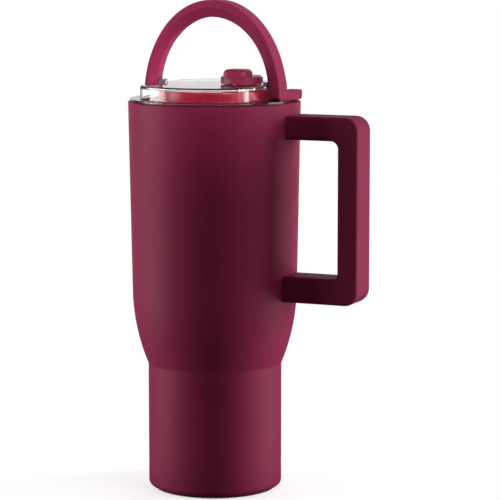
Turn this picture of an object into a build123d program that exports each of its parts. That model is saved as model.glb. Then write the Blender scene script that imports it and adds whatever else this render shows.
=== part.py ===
from build123d import *
import os

os.makedirs("parts", exist_ok=True)

# Insulated travel mug with a push-fit straw lid, in millimetres.
# +Z up, +X through the side handle, origin at the centre of the resting face.

# Vessel: outside shape
rim_height = 230.0
rim_radius = 50.7
shoulder_height = 118.0
shoulder_radius = 48.6
step_height = 74.5
base_radius = 39.5
base_round = 3.0

# Vessel: walls and the vacuum gap
steel = 0.9
vacuum_gap = 2.8
weld_gap = 0.05
pick_band = 0.2
liner_inset = steel + vacuum_gap
cavity_inset = liner_inset + steel
liner_floor = 6.6
liner_round = 6.0

# Underside
pad_thickness = 1.0
pad_radius = 36.2
pad_inner_radius = 25.0
pad_edge = 0.35
base_opening = 30.0
closure_radius = 34.0
dimple_radius = 8.0
dimple_rise = 2.4
seal_radius = 1.4
getter_radius = 5.0
getter_height = 1.8
getter_offset = 18.0

# Side handle
grip_outer = 94.0
grip_inner = 81.3
grip_width = 22.4
upper_arm_top = 223.4
upper_arm_bottom = 209.6
lower_arm_top = 130.0
lower_arm_bottom = 114.7
grip_corner = 8.5
grip_top_inside = 4.5
grip_bottom_inside = 2.6
grip_edge = 2.4
shell_clearance = 0.15
core_width = 12.0
core_thickness = 5.0
core_side = 84.8
core_end = 52.6
core_skin = 1.25
tab_thickness = 3.0
tab_width = 14.0
tab_end = 67.0
tab_setback = 3.4
foot_plate = 1.0
foot_height = 9.0
foot_width = 18.0
screw_position = 60.0
screw_radius = 1.75
screw_head_radius = 3.3
screw_head_height = 1.5
screw_length = 6.5
screw_clearance = 0.05
cap_plate = 1.2

# Lid: plug and clear cover
lid_gap = 0.3
plug_radius = 45.2
plug_depth = 13.0
plug_wall = 2.0
groove_top = 4.4
groove_bottom = 9.6
groove_radius = 43.0
gasket_radius = 45.65
gasket_lip = 1.2
core_radius = 31.0
core_height = 7.9
core_plate = 1.8
drum_radius = 46.0
drum_flat = 34.6
drum_height = 10.2
drum_wall = 1.8
drum_plate = 1.6
flange_radius = 49.8
flange_thickness = 0.9
flange_edge = 0.2
rest_thickness = 0.6
notch_front = -10.6
notch_back = 29.0

# Carrying bail
pivot_height = 10.0
bail_outer_half = 43.5
bail_offset = 0.5
bail_outer_rise = 58.2
bail_outer_centre = 1.0
bail_inner_half = 35.7
bail_inner_rise = 43.9
bail_inner_centre = 5.3
bail_width = 12.8
bail_inner_width = 8.6
bail_edge = 1.1
bail_taper = 1.6
left_foot_bottom = 6.8
right_foot_bottom = 0.6
heel_inner = 36.3
heel_outer = 44.7
heel_back = 27.3
heel_top = 6.4
heel_radius = 2.2
pin_radius = 1.5
pin_clearance = 0.05
pin_inner_end = 31.6
pin_outer_end = 41.4
lug_inner = 31.3
lug_radius = 3.0
washer_radius = 3.0
washer_thickness = 0.35

# Flip cap, spout and straw
spout_x = 17.5
spout_radius = 6.2
spout_bore = 3.6
spout_top = 12.9
spout_round = 0.8
spout_collar = 9.0
spout_collar_thickness = 1.3
spout_seal_thickness = 0.8
spout_bottom = -14.0
straw_radius = 4.0
straw_wall = 0.5
straw_socket_top = -4.0
straw_foot = 9.5
fit_clearance = 0.05
cap_radius = 12.4
cap_bottom = 10.7
cap_top = 14.9
cap_wall = 1.7
cap_ceiling = 13.4
cap_back = 9.8
cap_edge = 1.1
thumb_width = 15.4
thumb_back = 1.4
thumb_front = 12.4
thumb_top = 19.4
thumb_corner = 4.6
thumb_edge = 3.2
hinge_y = 13.2
hinge_height = 12.9
knuckle_radius = 2.1
knuckle_half = 3.0
ear_inner = 3.3
ear_outer = 5.8
hinge_pin_radius = 0.9
seal_disc_radius = 7.5
seal_plug_radius = 3.3
seal_plug_depth = 1.0
valve_x = -16.0
valve_head = 3.5
valve_head_height = 0.5
valve_stem = 1.4
valve_drop = 3.2
vent_radius = 0.8

# Shared distances for cuts that run right through
through = 200.0


def radius_at(height):
    """Outside radius of the tapered upper wall at a height."""
    rise = (height - shoulder_height) / (rim_height - shoulder_height)
    return shoulder_radius + (rim_radius - shoulder_radius) * rise


def wall_line(inset, bottom, top):
    """Side of the vessel moved inwards by inset: cylinder, shoulder arc and taper."""
    taper = Vector(radius_at(top) - shoulder_radius, top - shoulder_height)
    cylinder = Line((base_radius - inset, bottom), (base_radius - inset, step_height))
    shoulder = TangentArc(
        (shoulder_radius - inset, shoulder_height),
        (base_radius - inset, step_height),
        tangent=-taper,
    )
    side = Line(shoulder @ 0, (radius_at(top) - inset, top))
    return cylinder @ 0, side @ 1


def save(builder, name):
    """Label a finished piece and write it under its node name."""
    builder.part.label = name
    export_step(builder.part, f"parts/{name}.step")


# Vessel

with BuildPart() as outer_shell:
    with BuildSketch(Plane.XZ):
        with BuildLine():
            wall_foot, wall_head = wall_line(0, pad_thickness + base_round, rim_height)
            skin_foot, skin_head = wall_line(steel, pad_thickness + base_round, rim_height)
            Line(wall_head, skin_head)
            outer_round = RadiusArc(
                wall_foot, (base_radius - base_round, pad_thickness), base_round
            )
            inner_round = RadiusArc(
                skin_foot,
                (base_radius - base_round, pad_thickness + steel),
                base_round - steel,
            )
            opening_low = (base_opening, pad_thickness)
            opening_high = (base_opening, pad_thickness + steel)
            Polyline(outer_round @ 1, opening_low, opening_high, inner_round @ 1)
        make_face()
    revolve(axis=Axis.Z)
    lip = outer_shell.edges().filter_by(GeomType.CIRCLE).group_by(Axis.Z)[-1].sort_by(SortBy.RADIUS)
    fillet(lip[-1], steel / 2)
save(outer_shell, "outer_shell")

with BuildPart() as inner_liner:
    with BuildSketch(Plane.XZ):
        with BuildLine():
            wall_foot, wall_head = wall_line(liner_inset, liner_floor, rim_height - steel)
            skin_foot, skin_head = wall_line(cavity_inset, liner_floor + steel, rim_height)
            lip_radius = radius_at(rim_height - steel) - steel - weld_gap
            Polyline(wall_head, (lip_radius, rim_height - steel), (lip_radius, rim_height), skin_head)
            Polyline(wall_foot, (0, liner_floor), (0, liner_floor + steel), skin_foot)
        make_face()
    revolve(axis=Axis.Z)
    floor_edges = inner_liner.edges().filter_by(GeomType.CIRCLE).filter_by(
        lambda edge: edge.center().Z < liner_floor + 2 * steel
    ).sort_by(SortBy.RADIUS)
    fillet(floor_edges[-1], liner_round)
    fillet(inner_liner.edges().filter_by(GeomType.CIRCLE).filter_by(
        lambda edge: abs(edge.center().Z - liner_floor - steel) < pick_band
        and edge.radius > base_radius - cavity_inset - pick_band
    ), liner_round - steel)
save(inner_liner, "inner_liner")

with BuildPart() as base_closure:
    with BuildSketch(Plane.XZ):
        closure_low = pad_thickness + steel + weld_gap
        dimple_high = closure_low + dimple_rise
        with BuildLine():
            Polyline(
                (seal_radius, dimple_high),
                (dimple_radius - dimple_rise, dimple_high),
                (dimple_radius, closure_low),
                (closure_radius, closure_low),
                (closure_radius, closure_low + steel),
                (dimple_radius + steel / 2, closure_low + steel),
                (dimple_radius - dimple_rise + steel / 2, dimple_high + steel),
                (seal_radius, dimple_high + steel),
                close=True,
            )
        make_face()
    revolve(axis=Axis.Z)
save(base_closure, "base_closure")

with BuildPart() as vacuum_seal:
    with BuildSketch(Plane.XY.offset(dimple_high)):
        Circle(seal_radius - weld_gap)
    extrude(amount=steel)
save(vacuum_seal, "vacuum_seal")

with BuildPart() as vacuum_getter:
    with BuildSketch(Plane.XY.offset(closure_low + steel)):
        with Locations((getter_offset, 0)):
            Circle(getter_radius)
    extrude(amount=getter_height)
save(vacuum_getter, "vacuum_getter")

with BuildPart() as base_cover:
    with BuildSketch(Plane.XY.offset(pad_thickness)):
        Circle(base_opening - weld_gap)
    extrude(amount=steel)
save(base_cover, "base_cover")

with BuildPart() as foot_pad:
    with BuildSketch():
        Circle(pad_radius)
        Circle(pad_inner_radius, mode=Mode.SUBTRACT)
    extrude(amount=pad_thickness)
    fillet(foot_pad.edges().group_by(Axis.Z)[0], pad_edge)
save(foot_pad, "foot_pad")

# Side handle


def bracket(name, arm_bottom):
    """Steel bracket: a curved foot welded to the shell and a tab the handle is screwed to."""
    tab_low = arm_bottom + tab_setback
    foot_low = tab_low + tab_thickness / 2 - foot_height / 2
    with BuildPart() as piece:
        with BuildSketch(Plane.XZ):
            with BuildLine():
                inner_foot, inner_head = wall_line(-weld_gap, base_round, rim_height)
                outer_foot, outer_head = wall_line(-weld_gap - foot_plate, base_round, rim_height)
                Line(inner_foot, outer_foot)
                Line(inner_head, outer_head)
            make_face()
        revolve(axis=Axis.Z)
        with Locations((rim_radius, 0, foot_low)):
            Box(
                rim_radius, foot_width, foot_height,
                align=(Align.CENTER, Align.CENTER, Align.MIN), mode=Mode.INTERSECT,
            )
        tab_start = radius_at(foot_low + foot_height) + weld_gap
        with Locations((tab_start, 0, tab_low)):
            Box(
                tab_end - tab_start, tab_width, tab_thickness,
                align=(Align.MIN, Align.CENTER, Align.MIN),
            )
        fillet(piece.edges().filter_by(Axis.Z).group_by(Axis.X)[-1], tab_thickness)
        with Locations((screw_position, 0, tab_low)):
            Cylinder(screw_radius + screw_clearance, through, mode=Mode.SUBTRACT)
    save(piece, name)


arm_bottoms = (upper_arm_bottom, lower_arm_bottom)
bracket("handle_bracket_upper", upper_arm_bottom)
bracket("handle_bracket_lower", lower_arm_bottom)

with BuildPart() as handle_core:
    with BuildSketch(Plane.XZ):
        core_low = lower_arm_bottom + tab_setback + tab_thickness
        core_high = upper_arm_bottom + tab_setback + tab_thickness + core_thickness
        with Locations((core_end, core_low)):
            Rectangle(
                core_side + core_thickness - core_end, core_high - core_low,
                align=(Align.MIN, Align.MIN),
            )
        with Locations((core_end, core_low + core_thickness)):
            Rectangle(
                core_side - core_end, core_high - core_low - 2 * core_thickness,
                align=(Align.MIN, Align.MIN), mode=Mode.SUBTRACT,
            )
    extrude(amount=core_width / 2, both=True)
    fillet(handle_core.edges().filter_by(Axis.Y).group_by(Axis.X)[-1], core_thickness)
    with Locations((screw_position, 0, 0)):
        Cylinder(
            screw_radius + screw_clearance, core_high - core_skin,
            align=(Align.CENTER, Align.CENTER, Align.MIN), mode=Mode.SUBTRACT,
        )
save(handle_core, "handle_core")

with BuildPart() as handle_grip:
    with BuildSketch(Plane.XZ):
        grip_start = shoulder_radius / 2
        with BuildLine():
            Polyline(
                (grip_start, upper_arm_top), (grip_outer, upper_arm_top),
                (grip_outer, lower_arm_bottom), (grip_start, lower_arm_bottom),
                (grip_start, lower_arm_top), (grip_inner, lower_arm_top),
                (grip_inner, upper_arm_bottom), (grip_start, upper_arm_bottom),
                close=True,
            )
        make_face()
    extrude(amount=grip_width / 2, both=True)
    fillet(handle_grip.edges().filter_by(Axis.Y).group_by(Axis.X)[-1], grip_corner)
    inside = handle_grip.edges().filter_by(Axis.Y).filter_by_position(
        Axis.X, grip_inner - steel, grip_inner + steel
    )
    fillet(inside.sort_by(Axis.Z)[-1], grip_top_inside)
    inside = handle_grip.edges().filter_by(Axis.Y).filter_by_position(
        Axis.X, grip_inner - steel, grip_inner + steel
    )
    fillet(inside.sort_by(Axis.Z)[0], grip_bottom_inside)
    sides = handle_grip.faces().filter_by(Axis.Y).edges()
    fillet(sides.filter_by_position(Axis.X, grip_start + steel, grip_outer), grip_edge)
    with BuildSketch(Plane.XZ):
        with BuildLine():
            side_foot, side_head = wall_line(-shell_clearance, base_round, rim_height)
            Polyline(side_head, (0, rim_height), (0, base_round), side_foot)
        make_face()
    revolve(axis=Axis.Z, mode=Mode.SUBTRACT)
    add(handle_core.part, mode=Mode.SUBTRACT)
    for arm_bottom in arm_bottoms:
        tab_low = arm_bottom + tab_setback
        core_top = tab_low + tab_thickness + core_thickness
        with Locations((grip_start, 0, tab_low)):
            Box(
                tab_end - grip_start, tab_width, tab_thickness,
                align=(Align.MIN, Align.CENTER, Align.MIN), mode=Mode.SUBTRACT,
            )
        with Locations((grip_start, 0, tab_low + tab_thickness)):
            Box(
                core_end - grip_start, core_width, core_thickness,
                align=(Align.MIN, Align.CENTER, Align.MIN), mode=Mode.SUBTRACT,
            )
        with Locations((grip_start, 0, tab_low + tab_thickness / 2)):
            Box(
                core_end - grip_start, foot_width + shell_clearance, foot_height + shell_clearance,
                align=(Align.MIN, Align.CENTER, Align.CENTER), mode=Mode.SUBTRACT,
            )
        with Locations((screw_position, 0, arm_bottom)):
            Cylinder(
                screw_head_radius + screw_clearance, tab_setback,
                align=(Align.CENTER, Align.CENTER, Align.MIN), mode=Mode.SUBTRACT,
            )
            Cylinder(
                screw_radius + screw_clearance, core_top - arm_bottom,
                align=(Align.CENTER, Align.CENTER, Align.MIN), mode=Mode.SUBTRACT,
            )
save(handle_grip, "handle_grip")

with BuildPart() as handle_screws:
    for arm_bottom in arm_bottoms:
        head_low = arm_bottom + tab_setback - screw_head_height
        with Locations((screw_position, 0, head_low)):
            Cylinder(
                screw_head_radius, screw_head_height, align=(Align.CENTER, Align.CENTER, Align.MIN)
            )
            Cylinder(
                screw_radius, screw_head_height + screw_length,
                align=(Align.CENTER, Align.CENTER, Align.MIN),
            )
save(handle_screws, "handle_screws")

with BuildPart() as handle_screw_caps:
    for arm_bottom in arm_bottoms:
        with Locations((screw_position, 0, arm_bottom)):
            Cylinder(
                screw_head_radius, cap_plate, align=(Align.CENTER, Align.CENTER, Align.MIN)
            )
save(handle_screw_caps, "handle_screw_caps")

# Lid plug and clear cover

lid = Plane.XY.offset(rim_height)

with BuildPart() as lid_plug:
    with BuildSketch(Plane.XZ):
        with BuildLine():
            Polyline(
                (0, rim_height + core_height), (core_radius, rim_height + core_height),
                (core_radius, rim_height + lid_gap + rest_thickness),
                (flange_radius, rim_height + lid_gap + rest_thickness),
                (flange_radius, rim_height + lid_gap), (plug_radius, rim_height + lid_gap),
                (plug_radius, rim_height - groove_top), (groove_radius, rim_height - groove_top),
                (groove_radius, rim_height - groove_bottom),
                (plug_radius, rim_height - groove_bottom), (plug_radius, rim_height - plug_depth),
                (groove_radius - plug_wall, rim_height - plug_depth),
                (groove_radius - plug_wall, rim_height - core_plate),
                (core_radius - core_plate, rim_height - core_plate),
                (core_radius - core_plate, rim_height + core_height - core_plate),
                (0, rim_height + core_height - core_plate),
                close=True,
            )
        make_face()
    revolve(axis=Axis.Z)
    top_rim = lid_plug.edges().filter_by(GeomType.CIRCLE).group_by(Axis.Z)[-1]
    fillet(top_rim, plug_wall)
    with BuildSketch(lid):
        with Locations((spout_x, 0)):
            Circle(spout_radius + fit_clearance)
        with Locations((valve_x, 0)):
            Circle(valve_stem + fit_clearance)
    extrude(amount=core_height + plug_wall, mode=Mode.SUBTRACT)
    with BuildSketch(lid.offset(lid_gap)):
        with Locations((drum_flat, notch_front)):
            Rectangle(drum_radius, notch_back - notch_front, align=(Align.MIN, Align.MIN))
    extrude(amount=rest_thickness, mode=Mode.SUBTRACT)
save(lid_plug, "lid_plug")

with BuildPart() as lid_gasket:
    with BuildSketch(Plane.XZ):
        seal_top = rim_height - groove_top - fit_clearance
        seal_low = rim_height - groove_bottom + fit_clearance
        web = gasket_radius - gasket_lip
        inner = groove_radius + fit_clearance
        with BuildLine():
            Polyline(
                (inner, seal_top), (gasket_radius, seal_top), (gasket_radius, seal_top - gasket_lip),
                (web, seal_top - gasket_lip), (web, seal_low + gasket_lip),
                (gasket_radius, seal_low + gasket_lip), (gasket_radius, seal_low),
                (inner, seal_low), close=True,
            )
        make_face()
    revolve(axis=Axis.Z)
save(lid_gasket, "lid_gasket")


def drum_outline(radius, flat):
    """Round outline with two flats that face the feet of the bail."""
    Circle(radius)
    Rectangle(2 * flat, 2 * radius, mode=Mode.INTERSECT)


cover_low = lid_gap + rest_thickness

with BuildPart() as lid_cover:
    with BuildSketch(lid.offset(cover_low)):
        Circle(flange_radius)
        with Locations((drum_flat, notch_front)):
            Rectangle(
                drum_radius, notch_back - notch_front,
                align=(Align.MIN, Align.MIN), mode=Mode.SUBTRACT,
            )
    extrude(amount=flange_thickness)
    flange_rim = lid_cover.edges().group_by(Axis.Z)[-1].filter_by(GeomType.CIRCLE)
    chamfer(flange_rim, flange_edge)
    with BuildSketch(lid.offset(cover_low)):
        drum_outline(drum_radius, drum_flat)
    extrude(amount=drum_height - cover_low)
    fillet(lid_cover.edges().group_by(Axis.Z)[-1], drum_wall / 2)
    with BuildSketch(lid.offset(cover_low)):
        drum_outline(drum_radius - drum_wall, drum_flat - drum_wall)
    extrude(amount=drum_height - drum_plate - cover_low, mode=Mode.SUBTRACT)
    for side in (-1, 1):
        with BuildSketch(Plane.YZ.offset(side * lug_inner)):
            with Locations((0, rim_height + pivot_height)):
                Circle(lug_radius)
            with Locations((0, rim_height + pivot_height - lug_radius)):
                Rectangle(2 * lug_radius, lug_radius, align=(Align.CENTER, Align.MIN))
        extrude(amount=side * (drum_flat - lug_inner))
        with BuildSketch(Plane.YZ.offset(side * lug_inner)):
            with Locations((0, rim_height + pivot_height)):
                Circle(pin_radius + pin_clearance)
        extrude(amount=side * drum_flat, mode=Mode.SUBTRACT)
        with BuildSketch(Plane.YZ.offset(spout_x + side * ear_inner)):
            with Locations((hinge_y, rim_height + hinge_height)):
                Circle(knuckle_radius)
            with Locations((hinge_y, rim_height + drum_height)):
                Rectangle(
                    2 * knuckle_radius, hinge_height - drum_height,
                    align=(Align.CENTER, Align.MIN),
                )
        extrude(amount=side * (ear_outer - ear_inner))
    with BuildSketch(Plane.YZ.offset(spout_x - ear_outer)):
        with Locations((hinge_y, rim_height + hinge_height)):
            Circle(hinge_pin_radius + fit_clearance)
    extrude(amount=2 * ear_outer, mode=Mode.SUBTRACT)
    with BuildSketch(lid):
        with Locations((spout_x, 0)):
            Circle(spout_radius + fit_clearance)
        with Locations((valve_x, 0)):
            Circle(vent_radius)
    extrude(amount=drum_height + lid_gap, mode=Mode.SUBTRACT)
save(lid_cover, "lid_cover")

# Carrying bail


def arch_line(half_width, rise, centre, offset=0):
    """Half ellipse above its centre with straight sides down towards the rim."""
    middle = rim_height + centre
    foot = rim_height + right_foot_bottom
    top = EllipticalCenterArc((offset, middle), half_width, rise, start_angle=0, arc_size=180)
    Polyline(top @ 1, (offset - half_width, foot), (offset + half_width, foot), top @ 0)


pivot_z = rim_height + pivot_height

with BuildPart() as bail:
    with BuildSketch(Plane.XZ):
        with BuildLine():
            arch_line(bail_outer_half, bail_outer_rise, bail_outer_centre, bail_offset)
        make_face()
    extrude(amount=bail_width / 2, both=True)
    fillet(bail.faces().filter_by(Axis.Y).edges().filter_by(GeomType.ELLIPSE), bail_edge)
    with BuildSketch(Plane.XZ):
        with BuildLine():
            arch_line(bail_inner_half, bail_inner_rise, bail_inner_centre)
        make_face()
    extrude(amount=bail_width, both=True, mode=Mode.SUBTRACT)
    for side in (-1, 1):
        with BuildSketch(Plane.XZ.offset(side * bail_inner_width / 2)):
            with BuildLine():
                arch_line(bail_inner_half, bail_inner_rise, bail_inner_centre)
            make_face()
        with BuildSketch(Plane.XZ.offset(side * bail_width / 2)):
            with BuildLine():
                arch_line(
                    bail_outer_half - bail_taper, bail_outer_rise - bail_taper,
                    bail_outer_centre, bail_offset,
                )
            make_face()
        loft(ruled=True, mode=Mode.SUBTRACT)
    with BuildSketch(Plane.XY.offset(rim_height)):
        Rectangle(through, through)
    extrude(amount=left_foot_bottom, mode=Mode.SUBTRACT)
    with BuildSketch(Plane.YZ.offset(heel_inner)):
        with Locations((0, pivot_z)):
            Circle(pivot_height - right_foot_bottom)
        with Locations((-bail_width / 2, rim_height + right_foot_bottom)):
            Rectangle(
                bail_width, left_foot_bottom + bail_edge - right_foot_bottom,
                align=(Align.MIN, Align.MIN), mode=Mode.INTERSECT,
            )
        with Locations((0, rim_height + right_foot_bottom)):
            Rectangle(
                heel_back, heel_top - right_foot_bottom, align=(Align.MIN, Align.MIN)
            )
    extrude(amount=heel_outer - heel_inner)
    far_end = bail.edges().filter_by(Axis.X).group_by(Axis.Y)[-1].sort_by(Axis.Z)
    fillet(far_end[0], heel_radius)
    with BuildSketch(Plane.YZ):
        with Locations((0, pivot_z)):
            Circle(pin_radius + pin_clearance)
    extrude(amount=pin_outer_end + pin_clearance, both=True, mode=Mode.SUBTRACT)
save(bail, "bail")

for side, name in ((-1, "left"), (1, "right")):
    with BuildPart() as bail_pin:
        with BuildSketch(Plane.YZ.offset(side * pin_inner_end)):
            with Locations((0, pivot_z)):
                Circle(pin_radius)
        extrude(amount=side * (pin_outer_end - pin_inner_end))
    save(bail_pin, f"bail_pin_{name}")
    with BuildPart() as bail_washer:
        with BuildSketch(Plane.YZ.offset(side * drum_flat)):
            with Locations((0, pivot_z)):
                Circle(washer_radius)
                Circle(pin_radius + pin_clearance, mode=Mode.SUBTRACT)
        extrude(amount=side * washer_thickness)
    save(bail_washer, f"bail_washer_{name}")

# Spout, straw and vent

with BuildPart() as spout:
    with BuildSketch(lid.offset(spout_bottom)):
        with Locations((spout_x, 0)):
            Circle(spout_radius)
    extrude(amount=spout_top - spout_bottom)
    with BuildSketch(lid.offset(core_height - core_plate - spout_seal_thickness)):
        with Locations((spout_x, 0)):
            Circle(spout_collar)
    extrude(amount=-spout_collar_thickness)
    fillet(spout.edges().group_by(Axis.Z)[-1], spout_round)
    with BuildSketch(lid.offset(spout_bottom)):
        with Locations((spout_x, 0)):
            Circle(spout_bore)
    extrude(amount=spout_top - spout_bottom, mode=Mode.SUBTRACT)
    with BuildSketch(lid.offset(spout_bottom)):
        with Locations((spout_x, 0)):
            Circle(straw_radius + fit_clearance)
    extrude(amount=straw_socket_top - spout_bottom, mode=Mode.SUBTRACT)
save(spout, "spout")

with BuildPart() as spout_seal:
    with BuildSketch(lid.offset(core_height - core_plate)):
        with Locations((spout_x, 0)):
            Circle(spout_collar)
            Circle(spout_radius + fit_clearance, mode=Mode.SUBTRACT)
    extrude(amount=-spout_seal_thickness)
save(spout_seal, "spout_seal")

with BuildPart() as straw:
    with BuildSketch(Plane.XY.offset(straw_foot)):
        with Locations((spout_x, 0)):
            Circle(straw_radius)
            Circle(straw_radius - straw_wall, mode=Mode.SUBTRACT)
    extrude(amount=rim_height + straw_socket_top - straw_foot)
save(straw, "straw")

with BuildPart() as vent_valve:
    with BuildSketch(lid.offset(core_height)):
        with Locations((valve_x, 0)):
            Circle(valve_head)
    extrude(amount=valve_head_height)
    with BuildSketch(lid.offset(core_height)):
        with Locations((valve_x, 0)):
            Circle(valve_stem)
    extrude(amount=-valve_drop)
save(vent_valve, "vent_valve")

# Flip cap

with BuildPart() as flip_cap:
    with BuildSketch(lid.offset(cap_bottom)):
        with Locations((spout_x, 0)):
            Circle(cap_radius)
        with Locations((spout_x, cap_back)):
            Rectangle(
                2 * cap_radius, 2 * cap_radius + cap_back,
                align=(Align.CENTER, Align.MAX), mode=Mode.INTERSECT,
            )
    extrude(amount=cap_top - cap_bottom)
    fillet(flip_cap.edges().group_by(Axis.Z)[-1], cap_edge)
    with BuildSketch(lid.offset(cap_top - cap_edge)):
        with Locations((spout_x, -(thumb_front + thumb_back) / 2)):
            RectangleRounded(thumb_width, thumb_front - thumb_back, thumb_corner)
    extrude(amount=thumb_top - cap_top + cap_edge)
    fillet(flip_cap.edges().group_by(Axis.Z)[-1], thumb_edge)
    with BuildSketch(lid.offset(cap_bottom)):
        with Locations((spout_x, 0)):
            Circle(cap_radius - cap_wall)
        with Locations((spout_x, cap_back - cap_wall)):
            Rectangle(
                2 * cap_radius, 2 * cap_radius + cap_back,
                align=(Align.CENTER, Align.MAX), mode=Mode.INTERSECT,
            )
    extrude(amount=cap_ceiling - cap_bottom, mode=Mode.SUBTRACT)
    with BuildSketch(Plane.YZ.offset(spout_x - knuckle_half)):
        with Locations((hinge_y, rim_height + hinge_height)):
            Circle(knuckle_radius)
            Rectangle(
                hinge_y - cap_back + cap_wall, 2 * knuckle_radius, align=(Align.MAX, Align.CENTER)
            )
    extrude(amount=2 * knuckle_half)
    with BuildSketch(Plane.YZ.offset(spout_x - knuckle_half)):
        with Locations((hinge_y, rim_height + hinge_height)):
            Circle(hinge_pin_radius + fit_clearance)
    extrude(amount=2 * knuckle_half, mode=Mode.SUBTRACT)
save(flip_cap, "flip_cap")

with BuildPart() as cap_hinge_pin:
    with BuildSketch(Plane.YZ.offset(spout_x - ear_outer)):
        with Locations((hinge_y, rim_height + hinge_height)):
            Circle(hinge_pin_radius)
    extrude(amount=2 * ear_outer)
save(cap_hinge_pin, "cap_hinge_pin")

with BuildPart() as cap_seal:
    with BuildSketch(lid.offset(cap_ceiling)):
        with Locations((spout_x, 0)):
            Circle(seal_disc_radius)
    extrude(amount=spout_top + fit_clearance - cap_ceiling)
    with BuildSketch(lid.offset(spout_top + fit_clearance)):
        with Locations((spout_x, 0)):
            Circle(seal_plug_radius)
    extrude(amount=-seal_plug_depth)
save(cap_seal, "cap_seal")
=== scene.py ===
import bmesh
import bpy
from math import acos, atan2, cos, pi, radians, sin, tan
from mathutils import Euler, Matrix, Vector


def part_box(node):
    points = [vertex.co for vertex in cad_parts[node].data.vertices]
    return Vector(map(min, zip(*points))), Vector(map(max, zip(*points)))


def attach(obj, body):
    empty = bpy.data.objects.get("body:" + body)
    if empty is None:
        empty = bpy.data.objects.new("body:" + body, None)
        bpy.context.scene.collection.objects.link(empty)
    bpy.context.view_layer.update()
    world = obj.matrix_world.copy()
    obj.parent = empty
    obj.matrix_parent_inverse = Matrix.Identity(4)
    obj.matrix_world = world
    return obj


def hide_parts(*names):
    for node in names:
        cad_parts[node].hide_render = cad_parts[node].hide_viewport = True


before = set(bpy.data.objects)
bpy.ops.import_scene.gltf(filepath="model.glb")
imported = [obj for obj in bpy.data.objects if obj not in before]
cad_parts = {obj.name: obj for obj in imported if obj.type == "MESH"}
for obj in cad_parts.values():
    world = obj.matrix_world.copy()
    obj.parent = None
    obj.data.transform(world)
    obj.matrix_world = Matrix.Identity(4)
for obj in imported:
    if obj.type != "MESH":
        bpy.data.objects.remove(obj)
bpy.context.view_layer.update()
mm = 0.001
softAngle = 35  # edges that turn less than this, in degrees, are shaded smooth
weld = 0.002 * mm  # corners closer than this are one


# small tools for shapes

def edgeOf(node, axis, high=True):
    # one side of a CAD node's box, in millimetres
    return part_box(node)[1 if high else 0][axis] / mm


def roundOff(points, steps=6):
    # turns the corners (a, b, radius) of an outline into arcs; a radius of 0 stays sharp
    line = []
    count = len(points)
    for i, (a, b, radius) in enumerate(points):
        here = Vector((a, b))
        if radius <= 0:
            line.append((a, b))
            continue
        back = Vector(points[i - 1][:2]) - here
        ahead = Vector(points[(i + 1) % count][:2]) - here
        corner = acos(max(-1.0, min(1.0, back.normalized().dot(ahead.normalized()))))
        reach = radius / tan(corner / 2)
        middle = here + (back.normalized() + ahead.normalized()).normalized() * radius / sin(corner / 2)
        first = here + back.normalized() * reach - middle
        last = here + ahead.normalized() * reach - middle
        turn = atan2(first.x * last.y - first.y * last.x, first.dot(last))
        start = atan2(first.y, first.x)
        for k in range(steps + 1):
            angle = start + turn * k / steps
            line.append((middle.x + radius * cos(angle), middle.y + radius * sin(angle)))
    return line


def meshPiece(name, points, faces, smoothAngle=softAngle):
    # one closed mesh in metres from points in millimetres, faces turned outwards
    mesh = bpy.data.meshes.new(name)
    mesh.from_pydata([Vector(p) * mm for p in points], [], faces)
    piece = place(mesh)
    closeUp(piece)
    smooth(piece, smoothAngle)
    return piece


def place(mesh):
    # puts a mesh into the scene, at the origin
    piece = bpy.data.objects.new(mesh.name, mesh)
    bpy.context.scene.collection.objects.link(piece)
    return piece


def closeUp(piece):
    # merges doubled corners and turns every face outwards
    work = bmesh.new()
    work.from_mesh(piece.data)
    bmesh.ops.remove_doubles(work, verts=work.verts, dist=weld)
    bmesh.ops.recalc_face_normals(work, faces=work.faces)
    work.to_mesh(piece.data)
    work.free()


def smooth(piece, angle=softAngle):
    # smooth shading with sharp edges where faces turn more than the angle
    piece.data.shade_smooth()
    piece.data.set_sharp_from_angle(angle=radians(angle))


def lathe(name, profile, segments=192, centre=(0, 0), shape=None, smoothAngle=softAngle):
    # turns a closed profile of (radius, height) about a vertical axis
    points = []
    for i in range(segments):
        angle = 2 * pi * i / segments
        for radius, height in profile:
            if shape:
                radius = shape(angle, radius, height)
            points.append((centre[0] + radius * cos(angle), centre[1] + radius * sin(angle), height))
    count = len(profile)
    faces = []
    for i in range(segments):
        ahead = (i + 1) % segments
        for k in range(count):
            after = (k + 1) % count
            faces.append((i * count + k, ahead * count + k, ahead * count + after, i * count + after))
    return meshPiece(name, points, faces, smoothAngle)


def prism(name, outline, low, high, lay):
    # pushes a flat outline from low to high; lay turns (a, b, depth) into x, y, z
    points = [lay(a, b, low) for a, b in outline] + [lay(a, b, high) for a, b in outline]
    count = len(outline)
    faces = [tuple(range(count)), tuple(range(2 * count - 1, count - 1, -1))]
    faces += [(i, (i + 1) % count, count + (i + 1) % count, count + i) for i in range(count)]
    return meshPiece(name, points, faces)


def bake(piece):
    # replaces a piece's mesh by what its modifiers make of it
    view = bpy.context.evaluated_depsgraph_get()
    mesh = bpy.data.meshes.new_from_object(piece.evaluated_get(view))
    piece.modifiers.clear()
    piece.data = mesh


def soften(piece, width, segments, angle):
    # rounds every edge that turns more than the angle
    bevel = piece.modifiers.new("soften", "BEVEL")
    bevel.width = width * mm
    bevel.segments = segments
    bevel.limit_method = "ANGLE"
    bevel.angle_limit = radians(angle)
    bevel.use_clamp_overlap = False
    bake(piece)
    smooth(piece)


def combine(piece, other, how):
    # adds or cuts another closed shape, which is then thrown away
    cut = piece.modifiers.new("combine", "BOOLEAN")
    cut.operation = how
    cut.solver = "EXACT"
    cut.object = other
    bake(piece)
    bpy.data.objects.remove(other)
    smooth(piece)


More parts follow.
